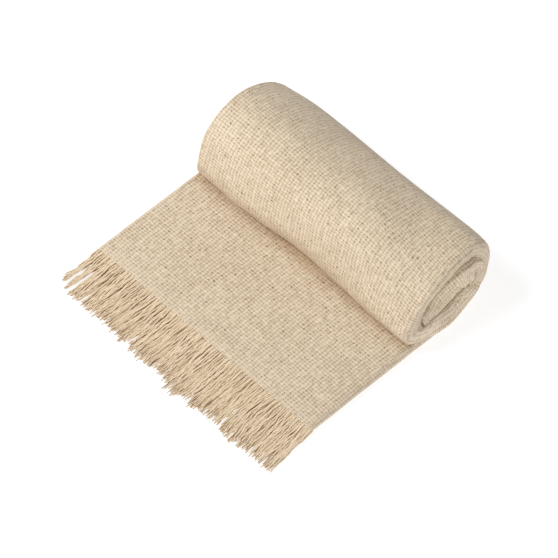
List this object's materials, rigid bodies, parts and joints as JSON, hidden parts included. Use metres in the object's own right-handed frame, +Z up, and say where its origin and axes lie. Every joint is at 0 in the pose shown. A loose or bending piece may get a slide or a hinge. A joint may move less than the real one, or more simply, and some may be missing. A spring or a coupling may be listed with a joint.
{
  "type": "rolled throw blanket",
  "caption": "Fringed throw blanket of open plain weave, folded lengthwise into a strip and rolled up towards its fringed end, which lies flat in front of the roll",
  "frame": {"origin": "the middle of the box that the throw fills, at the bottom, where it rests on the surface", "axes": "+X along the roll towards the end with the smooth fold, -Y from the roll towards the fringe, +Z up"},
  "size_m": [0.3368, 0.3574, 0.1052],
  "materials": {
    "cloth": "matt oatmeal plain weave of loose slubby yarns, slightly fuzzy",
    "yarn": "matt oatmeal warp yarns, softly twisted and uneven"
  },
  "bodies": {
    "root": {"rolled_throw": "cloth", "fringe": "yarn"}
  },
  "joints": []
}
